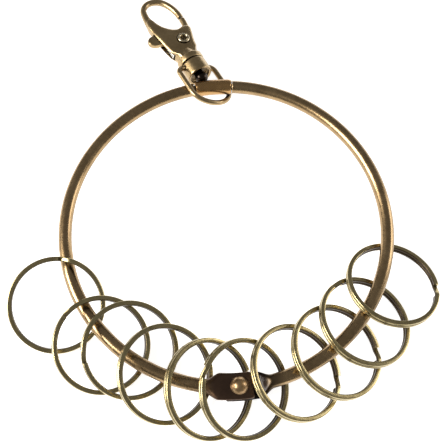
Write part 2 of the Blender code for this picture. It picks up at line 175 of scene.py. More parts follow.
def clean(obj: bpy.types.Object, merge: float = 0.002 * MM) -> None:
    """Merges doubled points and turns every face outwards.

    Args:
        obj: The mesh object.
        merge: Points nearer than this become one.
    """
    pick(obj)
    bpy.ops.object.mode_set(mode="EDIT")
    bpy.ops.mesh.select_all(action="SELECT")
    bpy.ops.mesh.remove_doubles(threshold=merge)
    bpy.ops.mesh.normals_make_consistent(inside=False)
    bpy.ops.object.mode_set(mode="OBJECT")


def place(obj: bpy.types.Object, matrix: Matrix) -> None:
    """Moves a mesh to its place and leaves the object itself at the origin.

    Args:
        obj: The mesh object.
        matrix: Its place.
    """
    obj.data.transform(matrix @ obj.matrix_basis)
    obj.matrix_basis = Matrix.Identity(4)
    obj.data.update()


def shade(obj: bpy.types.Object, angle: float = 40.0) -> None:
    """Shades smooth, except over edges sharper than this angle in degrees."""
    pick(obj)
    bpy.ops.object.shade_smooth_by_angle(angle=math.radians(angle))


def join(name: str, objs: list[bpy.types.Object]) -> bpy.types.Object:
    """Joins meshes to one object with this name.

    Args:
        name: The joined object's name.
        objs: The meshes.

    Returns:
        The joined object.
    """
    deselect()
    for obj in objs:
        obj.select_set(True)
    bpy.context.view_layer.objects.active = objs[0]
    bpy.ops.object.join()
    return named(name)


def cut(obj: bpy.types.Object, cutter: bpy.types.Object, operation: str = "DIFFERENCE") -> None:
    """Combines a piece with a cutter, and removes the cutter.

    Args:
        obj: The piece.
        cutter: The other solid.
        operation: The Boolean operation.
    """
    modifier = obj.modifiers.new("Cut", "BOOLEAN")
    modifier.operation = operation
    modifier.solver = "EXACT"
    modifier.object = cutter
    apply_modifiers(obj)
    bpy.data.objects.remove(cutter, do_unlink=True)


def bevel_edges(obj: bpy.types.Object, width: float, segments: int = 3, angle: float = 35.0) -> None:
    """Rounds every edge sharper than an angle in degrees.

    Args:
        obj: The piece.
        width: The bevel's width.
        segments: Its steps.
        angle: The angle.
    """
    modifier = obj.modifiers.new("Round", "BEVEL")
    modifier.width = width
    modifier.segments = segments
    modifier.limit_method = "ANGLE"
    modifier.angle_limit = math.radians(angle)
    modifier.harden_normals = False
    apply_modifiers(obj)


def melt(obj: bpy.types.Object, voxel: float, smooth: int) -> None:
    """Fuses overlapping solids to one skin with soft inner corners, as a casting has.

    Args:
        obj: The joined solids.
        voxel: The size of the new faces.
        smooth: How many times the skin is smoothed.
    """
    fuse = obj.modifiers.new("Fuse", "REMESH")
    fuse.mode = "VOXEL"
    fuse.voxel_size = voxel
    fuse.adaptivity = 0
    soften = obj.modifiers.new("Soften", "SMOOTH")
    soften.factor = 0.5
    soften.iterations = smooth
    apply_modifiers(obj)


def wire(
    name: str, points: Points, radius: float, radii: list[float] | None = None, closed: bool = False,
    resolution: int = 8,
) -> bpy.types.Object:
    """Draws a round wire along points and makes it a mesh with closed ends.

    Args:
        name: The new object's name.
        points: Points in three dimensions.
        radius: The wire's radius.
        radii: The radius at each point, as a share of radius.
        closed: Whether the wire comes back to its start.
        resolution: Blender's bevel resolution of the round section.

    Returns:
        The wire as a mesh object.
    """
    deselect()
    bpy.ops.curve.primitive_bezier_curve_add(radius=MM)
    obj = named(name)
    curve = obj.data
    curve.splines.clear()
    curve.twist_mode = "Z_UP"
    curve.bevel_depth = radius
    curve.bevel_resolution = resolution
    curve.use_fill_caps = not closed
    spline = curve.splines.new("POLY")
    spline.points.add(len(points) - 1)
    for index, point in enumerate(points):
        spline.points[index].co = (point.x, point.y, point.z if len(point) > 2 else 0, 1)
        spline.points[index].radius = radii[index] if radii else 1.0
    spline.use_cyclic_u = closed
    pick(obj)
    bpy.ops.object.convert(target="MESH")
    obj = named(name)
    clean(obj)
    return obj


def plate(name: str, outline: Points, thickness: float, rounding: float) -> bpy.types.Object:
    """Cuts a plate to an outline, with both of its rims rounded.

    Args:
        name: The new object's name.
        outline: The plate's edge, in the XY plane.
        thickness: The plate's full thickness about z = 0.
        rounding: The radius of its rims.

    Returns:
        The plate as a mesh object.
    """
    deselect()
    bpy.ops.curve.primitive_bezier_curve_add(radius=MM)
    obj = named(name)
    curve = obj.data
    curve.splines.clear()
    curve.dimensions = "2D"
    curve.fill_mode = "BOTH"
    curve.extrude = thickness / 2 - rounding
    curve.bevel_depth = rounding
    curve.bevel_resolution = 4
    curve.offset = -rounding
    spline = curve.splines.new("POLY")
    spline.points.add(len(outline) - 1)
    for point, co in zip(spline.points, outline):
        point.co = (co.x, co.y, 0, 1)
    spline.use_cyclic_u = True
    pick(obj)
    bpy.ops.object.convert(target="MESH")
    obj = named(name)
    clean(obj)
    return obj


def lathe(name: str, profile: list[tuple[float, float]], steps: int = 64) -> bpy.types.Object:
    """Turns a profile about Z.

    Args:
        name: The new object's name.
        profile: (radius, height) points from the top of the axis to its foot.
        steps: The number of faces round it.

    Returns:
        The turned solid.
    """
    deselect()
    bpy.ops.mesh.primitive_circle_add(vertices=3, radius=MM, fill_type="NOTHING")
    obj = named(name)
    made = bmesh.new()
    verts = [made.verts.new((max(radius, 0.0), 0, height)) for radius, height in profile]
    for a, b in zip(verts, verts[1:]):
        made.edges.new((a, b))
    made.to_mesh(obj.data)
    made.free()
    pick(obj)
    bpy.ops.object.mode_set(mode="EDIT")
    bpy.ops.mesh.select_all(action="SELECT")
    bpy.ops.mesh.spin(steps=steps, angle=2 * math.pi, center=(0, 0, 0), axis=(0, 0, 1))
    bpy.ops.object.mode_set(mode="OBJECT")
    clean(obj, 0.004 * MM)
    return obj


def rod(name: str, radius: float, length: float, matrix: Matrix, sides: int = 48) -> bpy.types.Object:
    """Makes a straight round cutter centred on its own origin and then placed.

    Args:
        name: The cutter's name.
        radius: Its radius.
        length: Its length along Z.
        matrix: Its place.
        sides: The number of faces round it.

    Returns:
        The cutter.
    """
    deselect()
    bpy.ops.mesh.primitive_cylinder_add(vertices=sides, radius=radius, depth=length)
    obj = named(name)
    place(obj, matrix)
    return obj


def block(name: str, low: Vector, high: Vector) -> bpy.types.Object:
    """Makes a cutter between two corners.

    Args:
        name: The cutter's name.
        low: Its lowest corner.
        high: Its highest corner.

    Returns:
        The cutter.
    """
    deselect()
    bpy.ops.mesh.primitive_cube_add(size=1)
    obj = named(name)
    scale = Matrix.Diagonal((*(high - low), 1))
    place(obj, Matrix.Translation((low + high) / 2) @ scale)
    return obj


def arc(centre: tuple[float, float], radius: float, start: float, end: float, count: int) -> list:
    """Finds (radius, height) points on an arc of a turned profile, between two angles in degrees."""
    turns = [math.radians(start + (end - start) * i / count) for i in range(count + 1)]
    return [(centre[0] + radius * math.cos(a), centre[1] + radius * math.sin(a)) for a in turns]


# Finishes


@dataclass(frozen=True)
class AntiqueBrass:
    """Brass that was darkened and then rubbed bright where it stands proud.

    Attributes:
        name: The material's name.
        bright: The rubbed metal.
        body: The even colour between.
        patina: The dark colour in hollows.
        rough: The roughness of the rubbed metal.
        rub: How much of the surface is rubbed bright, from 0 to 1.
        hollow: The distance within which a hollow darkens.
        grain: The height of the fine surface grain.
        lacquer: The weight of the clear coat.
        hinge_dark_centre: The middle of a zone painted darker round the hinge, or None where there is none.
        hinge_dark_reach: How far that zone is fully dark, and how far it fades out.
        hinge_dark_colours: The zone's body colour and its rubbed colour; where they are near black, on the
            right arm's tab, they are painted shadow.
    """

    name: str
    bright: Colour
    body: Colour
    patina: Colour
    rough: float = 0.25
    rub: float = 0.5
    hollow: float = 1.6 * MM
    grain: float = 0.006 * MM
    lacquer: float = 0.25
    hinge_dark_centre: Vector | None = None
    hinge_dark_reach: tuple[float, float] = (7.6 * MM, 13.5 * MM)
    hinge_dark_colours: tuple[Colour, Colour] = ((0.052, 0.029, 0.018), (0.17, 0.10, 0.062))

    def make(self) -> bpy.types.Material:
        """Builds the material.

        Returns:
            The new material.
        """
        material = bpy.data.materials.new(self.name)
        material.use_nodes = True
        tree = material.node_tree
        shader = tree.nodes["Principled BSDF"]
        shader.inputs["Metallic"].default_value = 1.0
        shader.inputs["Coat Weight"].default_value = self.lacquer
        shader.inputs["Coat Roughness"].default_value = 0.14
        where = tree.nodes.new("ShaderNodeTexCoord").outputs["Object"]
        cloud = self._noise(tree, where, 170.0, 4.0, 0.6)
        speck = self._noise(tree, where, 900.0, 5.0, 0.65)
        edge = self._edge(tree)
        hollow = self._hollow(tree)

        rubbed = self._math(tree, "MULTIPLY_ADD", cloud, 0.6, self.rub - 0.3)
        rubbed = self._math(tree, "ADD", rubbed, edge)
        rubbed = self._math(tree, "MULTIPLY_ADD", speck, 0.25, rubbed)
        rubbed = self._range(tree, rubbed, 0.2, 1.05)
        metal = self._mix(tree, rubbed, self.body, self.bright)
        dirt = self._math(tree, "MULTIPLY_ADD", cloud, -0.5, hollow)
        dirt = self._range(tree, dirt, 0.0, 0.55)
        colour = self._mix(tree, dirt, metal, self.patina)
        rough = self._math(tree, "MULTIPLY_ADD", speck, 0.16, self.rough - 0.07)
        rough = self._math(tree, "MULTIPLY_ADD", dirt, 0.25, rough)
        # The hinge zone is painted darker; on the right arm's tab, near black, this is painted shadow.
        if self.hinge_dark_centre is not None:
            hinge_dark = self._hinge_darkening(tree, where, cloud)
            colour = self._mix(tree, hinge_dark, colour, self._mix(tree, rubbed, *self.hinge_dark_colours))
            rough = self._math(tree, "MULTIPLY_ADD", hinge_dark, 0.10, rough)
        tree.links.new(colour, shader.inputs["Base Color"])
        tree.links.new(rough, shader.inputs["Roughness"])

        bump = tree.nodes.new("ShaderNodeBump")
        bump.inputs["Strength"].default_value = 0.5
        bump.inputs["Distance"].default_value = self.grain
        fine = self._noise(tree, where, 2600.0, 3.0, 0.5)
        tree.links.new(self._math(tree, "ADD", speck, fine), bump.inputs["Height"])
        tree.links.new(bump.outputs["Normal"], shader.inputs["Normal"])
        return material

    def _noise(self, tree: Tree, where: Socket, scale: float, detail: float, rough: float) -> Socket:
        """Adds a noise pattern.

        Args:
            tree: The material's nodes.
            where: The coordinates' socket.
            scale: How many features there are in a metre, roughly.
            detail: The number of octaves.
            rough: How strong the fine octaves are.

        Returns:
            The pattern's socket.
        """
        node = tree.nodes.new("ShaderNodeTexNoise")
        node.inputs["Scale"].default_value = scale
        node.inputs["Detail"].default_value = detail
        node.inputs["Roughness"].default_value = rough
        tree.links.new(where, node.inputs["Vector"])
        return node.outputs["Fac"]

    def _edge(self, tree: Tree) -> Socket:
        """Returns how far the surface stands proud, from its curvature.

        Args:
            tree: The material's nodes.

        Returns:
            The socket, from 0 to 0.5.
        """
        geometry = tree.nodes.new("ShaderNodeNewGeometry")
        return self._math(
            tree, "MULTIPLY", self._range(tree, geometry.outputs["Pointiness"], 0.5, 0.6), 0.5
        )

    def _hollow(self, tree: Tree) -> Socket:
        """Adds a shelter test, and returns how deep in a hollow the surface lies, from 0 to 1.

        Args:
            tree: The material's nodes.

        Returns:
            The socket.
        """
        shelter = tree.nodes.new("ShaderNodeAmbientOcclusion")
        shelter.samples = 8
        shelter.inputs["Distance"].default_value = self.hollow
        return self._range(tree, shelter.outputs["AO"], 1.0, 0.25)

    def _hinge_darkening(self, tree: Tree, where: Socket, cloud: Socket) -> Socket:
        """Measures the distance to the middle of the zone painted darker round the hinge.

        Args:
            tree: The material's nodes.
            where: The coordinates' socket.
            cloud: The noise that makes the zone's edge ragged.

        Returns:
            The socket of how far the surface is painted darker, from 0 to 1.
        """
        reach = tree.nodes.new("ShaderNodeVectorMath")
        reach.operation = "DISTANCE"
        tree.links.new(where, reach.inputs[0])
        reach.inputs[1].default_value = self.hinge_dark_centre
        ragged = self._math(tree, "MULTIPLY_ADD", cloud, 2.4 * MM, reach.outputs["Value"])
        near, far = self.hinge_dark_reach
        return self._range(tree, ragged, far + 1.2 * MM, near + 1.2 * MM)

    def _math(self, tree: Tree, operation: str, *values: Socket | float) -> Socket:
        """Adds a math node.

        Args:
            tree: The material's nodes.
            operation: The node's operation.
            values: Its inputs, each a socket or a number.

        Returns:
            The result's socket.
        """
        node = tree.nodes.new("ShaderNodeMath")
        node.operation = operation
        for socket, value in zip(node.inputs, values):
            if isinstance(value, (int, float)):
                socket.default_value = value
            else:
                tree.links.new(value, socket)
        return node.outputs[0]

    def _range(self, tree: Tree, value: Socket, low: float, high: float) -> Socket:
        """Maps a range to 0 to 1, and holds the result between them.

        Args:
            tree: The material's nodes.
            value: The socket to map.
            low: The value that becomes 0.
            high: The value that becomes 1.

        Returns:
            The result's socket.
        """
        node = tree.nodes.new("ShaderNodeMapRange")
        node.inputs["From Min"].default_value = low
        node.inputs["From Max"].default_value = high
        tree.links.new(value, node.inputs["Value"])
        return node.outputs["Result"]

    def _mix(self, tree: Tree, amount: Socket, first: Socket | Colour, second: Socket | Colour) -> Socket:
        """Mixes two colours.

        Args:
            tree: The material's nodes.
            amount: The share of the second colour.
            first: The colour at 0.
            second: The colour at 1.

        Returns:
            The mixed colour's socket.
        """
        node = tree.nodes.new("ShaderNodeMix")
        node.data_type = "RGBA"
        tree.links.new(amount, node.inputs["Factor"])
        for socket, value in ((node.inputs["A"], first), (node.inputs["B"], second)):
            if isinstance(value, tuple):
                socket.default_value = (*value, 1)
            else:
                tree.links.new(value, socket)
        return node.outputs["Result"]


@dataclass(frozen=True)
class FloorFinish:
    """Plain matt paint for the table, with a glow that keeps the shadows on it faint."""

    colour: Colour = (0.93, 0.93, 0.93)
    glow: float = 0.85

    def make(self) -> bpy.types.Material:
        """Builds the material.

        Returns:
            The new material.
        """
        material = bpy.data.materials.new("table_paint")
        material.use_nodes = True
        shader = material.node_tree.nodes["Principled BSDF"]
        shader.inputs["Base Color"].default_value = (*self.colour, 1)
        shader.inputs["Roughness"].default_value = 0.9
        shader.inputs["Specular IOR Level"].default_value = 0.1
        shader.inputs["Emission Color"].default_value = (1, 1, 1, 1)
        shader.inputs["Emission Strength"].default_value = self.glow
        return material


# Painted shadow: the near-black colours of the right arm's tab, which lies lower than the left tab, in
# shade.
TAB_SHADOW_BLACK = ((0.006, 0.004, 0.003), (0.018, 0.011, 0.008))

HOOP_FINISH = AntiqueBrass(
    "satin_bronze", (0.58, 0.41, 0.22), (0.16, 0.096, 0.038), (0.012, 0.007, 0.004), 0.26, 0.32
)
SLEEVE_FINISH = AntiqueBrass(
    "sleeve_bronze", (0.56, 0.34, 0.14), (0.27, 0.145, 0.050), (0.010, 0.006, 0.003), 0.26, 0.42
)
RIVET_FINISH = AntiqueBrass(
    "rivet_bronze", (0.66, 0.46, 0.25), (0.30, 0.16, 0.065), (0.015, 0.008, 0.004), 0.33, 0.45
)
RING_FINISH = AntiqueBrass(
    "ring_brass", (0.72, 0.60, 0.33), (0.20, 0.15, 0.052), (0.010, 0.007, 0.003), 0.22, 0.33, 1.1 * MM
)
INNER_FINISH = AntiqueBrass(
    "ring_brass_unworn", (0.10, 0.066, 0.030), (0.018, 0.011, 0.005), (0.005, 0.003, 0.002), 0.30, 0.25
)
CLASP_FINISH = AntiqueBrass(
    "clasp_brass", (0.62, 0.47, 0.26), (0.24, 0.155, 0.066), (0.008, 0.005, 0.003), 0.30, 0.36
)
EYELET_FINISH = AntiqueBrass(
    "eyelet_brass", (0.66, 0.56, 0.38), (0.36, 0.28, 0.16), (0.008, 0.005, 0.003), 0.22, 0.6, 1.2 * MM
)
PIN_FINISH = AntiqueBrass(
    "pin_brass", (0.05, 0.032, 0.02), (0.012, 0.008, 0.005), (0.004, 0.003, 0.002), 0.25, 0.3
)
SPRING_FINISH = AntiqueBrass(
    "spring_steel", (0.80, 0.78, 0.72), (0.50, 0.47, 0.40), (0.05, 0.04, 0.03), 0.2, 0.6, 0.6 * MM
)


def dress(
    obj: bpy.types.Object, material: bpy.types.Material, body: str, nodes: tuple[str, ...]
) -> None:
    """Gives a finished piece its material and body, and hides the CAD nodes that it stands for.

    Args:
        obj: The finished piece.
        material: Its material.
        body: The name of the body that it rides on.
        nodes: The CAD nodes that it stands for.
    """
    obj.data.materials.clear()
    obj.data.materials.append(material)
    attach(obj, body)
    if nodes:
        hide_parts(*nodes)
    log.info("%s: %d faces on %s", obj.name, len(obj.data.polygons), body)


# The hoop


@dataclass
class Hoop:
    """The hinged hoop: two arms, their rivet and the closure sleeve."""

    centre: Vector = field(default_factory=lambda: Vector((0.106 * MM, -10.48 * MM, 6 * MM)))
    radius: float = 48 * MM
    tube_d: float = 4 * MM
    hinge_angle: float = -85.3
    tab_width: float = 7.6 * MM
    tab_thickness: float = 1.6 * MM
    tab_reach: float = 3.7 * MM
    tab_flat: float = 5.5 * MM
    tab_end: float = 9.5 * MM
    rivet_d: float = 2.4 * MM
    head_d: float = 5 * MM
    head_h: float = 1.8 * MM
    foot_d: float = 4.4 * MM
    foot_h: float = 0.7 * MM
    mouth_angle: float = 88.0
    sleeve_d: float = 4.8 * MM
    bore_d: float = 3.2 * MM
    sleeve_length: float = 11.6 * MM
    peg_d: float = 2 * MM
    peg_length: float = 4 * MM
    spigot_d: float = 2.6 * MM
    spigot_length: float = 3 * MM

    @property
    def tab_layer(self) -> float:
        """How far a tab's middle lies above or below the tube's axis."""
        return self.tab_thickness / 2 + FIT_GAP / 2

    @property
    def frame(self) -> Matrix:
        """The hoop's own frame: its centre, at the height of the tube's axis."""
        return Matrix.Translation(self.centre)

    def at(self, angle: float, height: float = 0.0, radius: float | None = None) -> Vector:
        """Finds the point at an angle in degrees round the hoop, from its centre.

        Args:
            angle: The angle.
            height: Above the tube's axis.
            radius: From the centre, or None for the tube's axis.

        Returns:
            The point.
        """
        turn = math.radians(angle)
        reach = self.radius if radius is None else radius
        return Vector((reach * math.cos(turn), reach * math.sin(turn), height))

    def degrees(self, length: float) -> float:
        """Returns the degrees round the hoop for a length along the tube's axis."""
        return math.degrees(length / self.radius)

    def build(self) -> None:
        """Builds and dresses every piece of the hoop."""
        brown = replace(HOOP_FINISH, hinge_dark_centre=self.centre + self.at(self.hinge_angle))
        # The right arm's tab gets the near-black painted shadow.
        shadowed_tab_finish = replace(brown, name="satin_bronze_shadowed_tab", hinge_dark_colours=TAB_SHADOW_BLACK)
        left = self._arm("left_arm", Side.LEFT)
        right = self._arm("right_arm", Side.RIGHT)
        dress(left, brown.make(), Body.HOOP_LEFT.value, ("hoop_left_arm",))
        dress(right, shadowed_tab_finish.make(), Body.HOOP_RIGHT.value, ("hoop_right_arm",))
        dress(self._rivet(), RIVET_FINISH.make(), Body.HOOP_LEFT.value, ("hinge_rivet",))
        sleeve = self._sleeve()
        dress(sleeve, SLEEVE_FINISH.make(), Body.HOOP_LEFT.value, ("closure_sleeve",))

    def _arm(self, name: str, side: Side) -> bpy.types.Object:
        """Sweeps one arm round from its tab to its reduced end, and presses its tab flat.

        Args:
            name: The new object's name.
            side: Which arm it is.

        Returns:
            The finished arm.
        """
        way = -side.value
        if side is Side.LEFT:
            shoulder = self.mouth_angle + self.degrees(2 * FIT_GAP + self.sleeve_length) - 360
            reduced, reduced_d = self.spigot_length, self.spigot_d
        else:
            shoulder = self.mouth_angle + self.degrees(0.16 * MM)
            reduced, reduced_d = self.peg_length, self.peg_d
        start = self.hinge_angle - way * self.degrees(self.tab_reach)
        tab_end = self.hinge_angle + way * self.degrees(self.tab_end)
        near, far = 70, 200
        angles = [start + (tab_end - start) * i / near for i in range(near)]
        angles += [tab_end + (shoulder - tab_end) * i / far for i in range(far)]
        rim = self.degrees(0.35 * MM)
        angles += [shoulder - way * rim, shoulder - way * rim * 0.5, shoulder - way * rim * 0.13, shoulder]
        ratio = reduced_d / self.tube_d
        tip = self.degrees(reduced)
        flare = 1.07 if side is Side.RIGHT else 1.0
        radii = [1.0] * (near + far) + [1.0, flare, 0.98 * flare, 0.9 * flare]
        angles += [shoulder + way * 0.01, shoulder + way * tip * 0.8, shoulder + way * tip]
        radii += [ratio, ratio, ratio * 0.7]
        radii[0], radii[1] = 0.9, 0.97
        arm = wire(name, [self.at(a) for a in angles], self.tube_d / 2, radii, resolution=10)
        self._press_tab(arm, side)
        bore = rod("pivot_bore", self.rivet_d / 2 + FIT_GAP, 4 * self.tube_d,
                   Matrix.Translation(self.at(self.hinge_angle)))
        cut(arm, bore)
        place(arm, self.frame)
        shade(arm, 50)
        return arm

    def _press_tab(self, arm: bpy.types.Object, side: Side) -> None:
        """Presses the hinge end of an arm to a wide flat tab with soft edges.

        Args:
            arm: The arm, in the hoop's frame.
            side: Which arm it is.
        """
        for vertex in arm.data.vertices:
            x, y, z = vertex.co
            angle = math.degrees(math.atan2(y, x))
            reach = math.radians(abs((angle - self.hinge_angle + 180) % 360 - 180)) * self.radius
            amount = 1 - smoothstep((reach - self.tab_flat) / (self.tab_end - self.tab_flat))
            if amount == 0:
                continue
            outward = math.hypot(x, y) - self.radius
            scale = math.hypot(outward, z) / (self.tube_d / 2)
            around = math.atan2(z, outward)
            wide = math.copysign(abs(math.cos(around)) ** 0.6, math.cos(around))
            wide *= scale * self.tab_width / 2
            tall = math.tanh(2.2 * math.sin(around)) / math.tanh(2.2) * scale
            tall = tall * self.tab_thickness / 2 + side.value * self.tab_layer
            vertex.co = self.at(
                angle, z + (tall - z) * amount, self.radius + outward + (wide - outward) * amount
            )

    def _rivet(self) -> bpy.types.Object:
        """Turns the hinge rivet: a domed head, the shank and a peened foot.

        Returns:
            The rivet.
        """
        under = self.tab_layer + self.tab_thickness / 2 + FIT_GAP / 2
        sphere = (self.head_d**2 / 4 + self.head_h**2) / (2 * self.head_h)
        edge = math.degrees(math.asin((sphere - self.head_h) / sphere))
        dome = arc((0, under + self.head_h - sphere), sphere, 90, edge + 4, 22)
        profile = [
            *dome, (self.head_d / 2 - 0.01 * MM, under + 0.12 * MM), (self.head_d / 2 - 0.03 * MM, under),
            (self.rivet_d / 2, under), (self.rivet_d / 2, -under), (self.foot_d / 2 - 0.05 * MM, -under),
            (self.foot_d / 2, -under - 0.12 * MM), (self.foot_d / 2 - 0.1 * MM, -under - 0.4 * MM),
            (self.foot_d / 2 - 0.4 * MM, -under - 0.6 * MM), (0.9 * MM, -under - self.foot_h),
            (0, -under - self.foot_h),
        ]
        rivet = lathe("rivet", profile)
        place(rivet, self.frame @ Matrix.Translation(self.at(self.hinge_angle)))
        shade(rivet, 50)
        return rivet

    def _sleeve(self) -> bpy.types.Object:
        """Draws the closure sleeve round its bore, with rolled lips.

        Returns:
            The sleeve.
        """
        first = self.mouth_angle + self.degrees(FIT_GAP)
        span = self.degrees(self.sleeve_length)
        lip = self.degrees(1.3 * MM)
        shares = (0, 0.06, 0.15, 0.3, 0.5, 0.75, 1)
        ring = (0.76, 0.84, 0.89, 0.94, 0.975, 0.995, 1)
        starts = [first + lip * share for share in shares]
        ends = [first + span - lip * share for share in reversed(shares)]
        body = [starts[-1] + (ends[0] - starts[-1]) * i / 30 for i in range(1, 30)]
        angles = [*starts, *body, *ends]
        radii = [*ring, *[1.0] * len(body), *reversed(ring)]
        sleeve = wire("sleeve", [self.at(a) for a in angles], self.sleeve_d / 2, radii, resolution=10)
        past = [first - 1 + (span + 2) * i / 30 for i in range(31)]
        cut(sleeve, wire("bore", [self.at(a) for a in past], self.bore_d / 2, resolution=8))
        place(sleeve, self.frame)
        shade(sleeve, 50)
        return sleeve


# The split rings


@dataclass(frozen=True)
class RingPlace:
    """Where one ring lies on the hoop.

    Attributes:
        angle: Place round the hoop in degrees.
        tilt: How far it leans from flat in degrees.
        turn: How far its lean is turned from the hoop's direction in degrees.
        outward: How far its centre lies outside the tube's axis, in mm.
        lift: How far its low edge is above the table, in mm.
        step: Where the wire steps between its two turns, in degrees.
    """

    angle: float
    tilt: float
    turn: float
    outward: float
    lift: float
    step: float


RING_PLACES = (
    RingPlace(-153.3, 20.0, -7.0, 6.6, 0.0, 46),
    RingPlace(-134.0, 21.5, 16.0, 2.4, 0.0, 61),
    RingPlace(-125.5, 21.5, 7.5, -1.7, 0.0, 113),
    RingPlace(-110.3, 25.0, 2.0, -0.3, 0.8, 20),
    RingPlace(-95.0, 34.0, -7.5, 1.2, 0.0, 285),
    RingPlace(-83.7, 31.0, -23.5, 1.1, 0.0, 75),
    RingPlace(-65.8, 25.7, -11.0, 0.2, 0.4, 235),
    RingPlace(-50.3, 23.2, -22.5, 1.1, 0.0, 240),
    RingPlace(-36.0, 21.5, -23.0, 1.2, 0.0, 349),
    RingPlace(-19.8, 18.6, -16.5, 3.7, 0.1, 196),
)


@dataclass
class SplitRings:
    """The split rings, each of flat-sided wire wound twice."""

    hoop: Hoop
    outer_d: float = 28 * MM
    band: float = 1.4 * MM
    height: float = 1.05 * MM
    gap: float = 0.1 * MM
    step_angle: float = 16.0
    rounding: float = 0.34 * MM
    turn_steps: int = 110

    def build(self) -> None:
        """Winds one ring, and places a copy of it at every place."""
        material, unworn = RING_FINISH.make(), INNER_FINISH.make()
        pattern = self._wind()
        inward = [self._faces_in(face) for face in pattern.data.polygons]
        for index, spot in enumerate(RING_PLACES, start=1):
            ring = pattern.copy()
            ring.data = pattern.data.copy()
            ring.name = ring.data.name = f"ring_{index:02d}_wire"
            bpy.context.scene.collection.objects.link(ring)
            place(ring, self.hoop.frame @ self._frame(spot))
            shade(ring, 60)
            dress(ring, material, f"ring_{index:02d}", (f"split_ring_{index:02d}",))
            ring.data.materials.append(unworn)
            ring.data.polygons.foreach_set("material_index", inward)
        bpy.data.objects.remove(pattern, do_unlink=True)

    def _faces_in(self, face: bpy.types.MeshPolygon) -> int:
        """Returns 1 for a face of the ring's inner side, which nothing rubs, and 0 for the others."""
        outward = Vector((face.center.x, face.center.y, 0)).normalized()
        return int(face.normal.dot(outward) < -0.55)

    def _wind(self) -> bpy.types.Object:
        """Winds the wire twice about Z by extruding its section, with its step at +X.

        Returns:
            The ring in its own frame.
        """
        radius = (self.outer_d - self.band) / 2
        level = (self.height + self.gap) / 2
        deselect()
        bpy.ops.mesh.primitive_plane_add(size=1, rotation=(math.pi / 2, 0, 0))
        ring = named("ring_pattern")
        place(ring, Matrix.Diagonal((self.band, 1, self.height, 1)))
        pick(ring)
        bpy.ops.object.mode_set(mode="EDIT")
        bpy.ops.mesh.select_all(action="SELECT")
        bpy.ops.mesh.bevel(offset=self.rounding, segments=5, affect="VERTICES")
        bpy.ops.object.mode_set(mode="OBJECT")
        place(ring, Matrix.Rotation(math.radians(self.step_angle / 2), 4, "Z")
              @ Matrix.Translation((radius, 0, -level)))
        pick(ring)
        bpy.ops.object.mode_set(mode="EDIT")
        bpy.ops.mesh.select_all(action="SELECT")
        full = math.radians(360 - self.step_angle)
        axis = {"center": (0, 0, 0), "axis": (0, 0, -1)}
        bpy.ops.mesh.spin(steps=self.turn_steps, angle=-full, **axis)
        count = 10
        for index in range(count):
            rise = 2 * level * (smoothstep((index + 1) / count) - smoothstep(index / count))
            bpy.ops.mesh.spin(steps=1, angle=-math.radians(self.step_angle) / count, **axis)
            bpy.ops.transform.translate(value=(0, 0, rise))
        bpy.ops.mesh.spin(steps=self.turn_steps, angle=-full, **axis)
        bpy.ops.object.mode_set(mode="OBJECT")
        clean(ring)
        return ring

    def _frame(self, spot: RingPlace) -> Matrix:
        """Returns a ring's frame from the hoop's centre, its Z its axis and its X at the step.

        Args:
            spot: Where the ring lies.

        Returns:
            The frame.
        """
        lean = math.radians(spot.tilt)
        heading = math.radians(spot.angle + 90 + spot.turn)
        flat = math.sin(lean)
        axis = Vector((flat * math.cos(heading), flat * math.sin(heading), math.cos(lean)))
        thickness = 2 * self.height + self.gap
        rise = self.outer_d / 2 * flat + thickness / 2 * math.cos(lean) + spot.lift * MM
        across = Vector((0, 0, 1)).cross(axis).normalized()
        bearing = math.radians(spot.step)
        x_axis = across * math.cos(bearing) + axis.cross(across) * math.sin(bearing)
        turned = Matrix((x_axis, axis.cross(x_axis), axis)).transposed().to_4x4()
        hoop = self.hoop
        middle = hoop.at(spot.angle, rise - hoop.centre.z, hoop.radius + spot.outward * MM)
        return Matrix.Translation(middle) @ turned


# The clasp


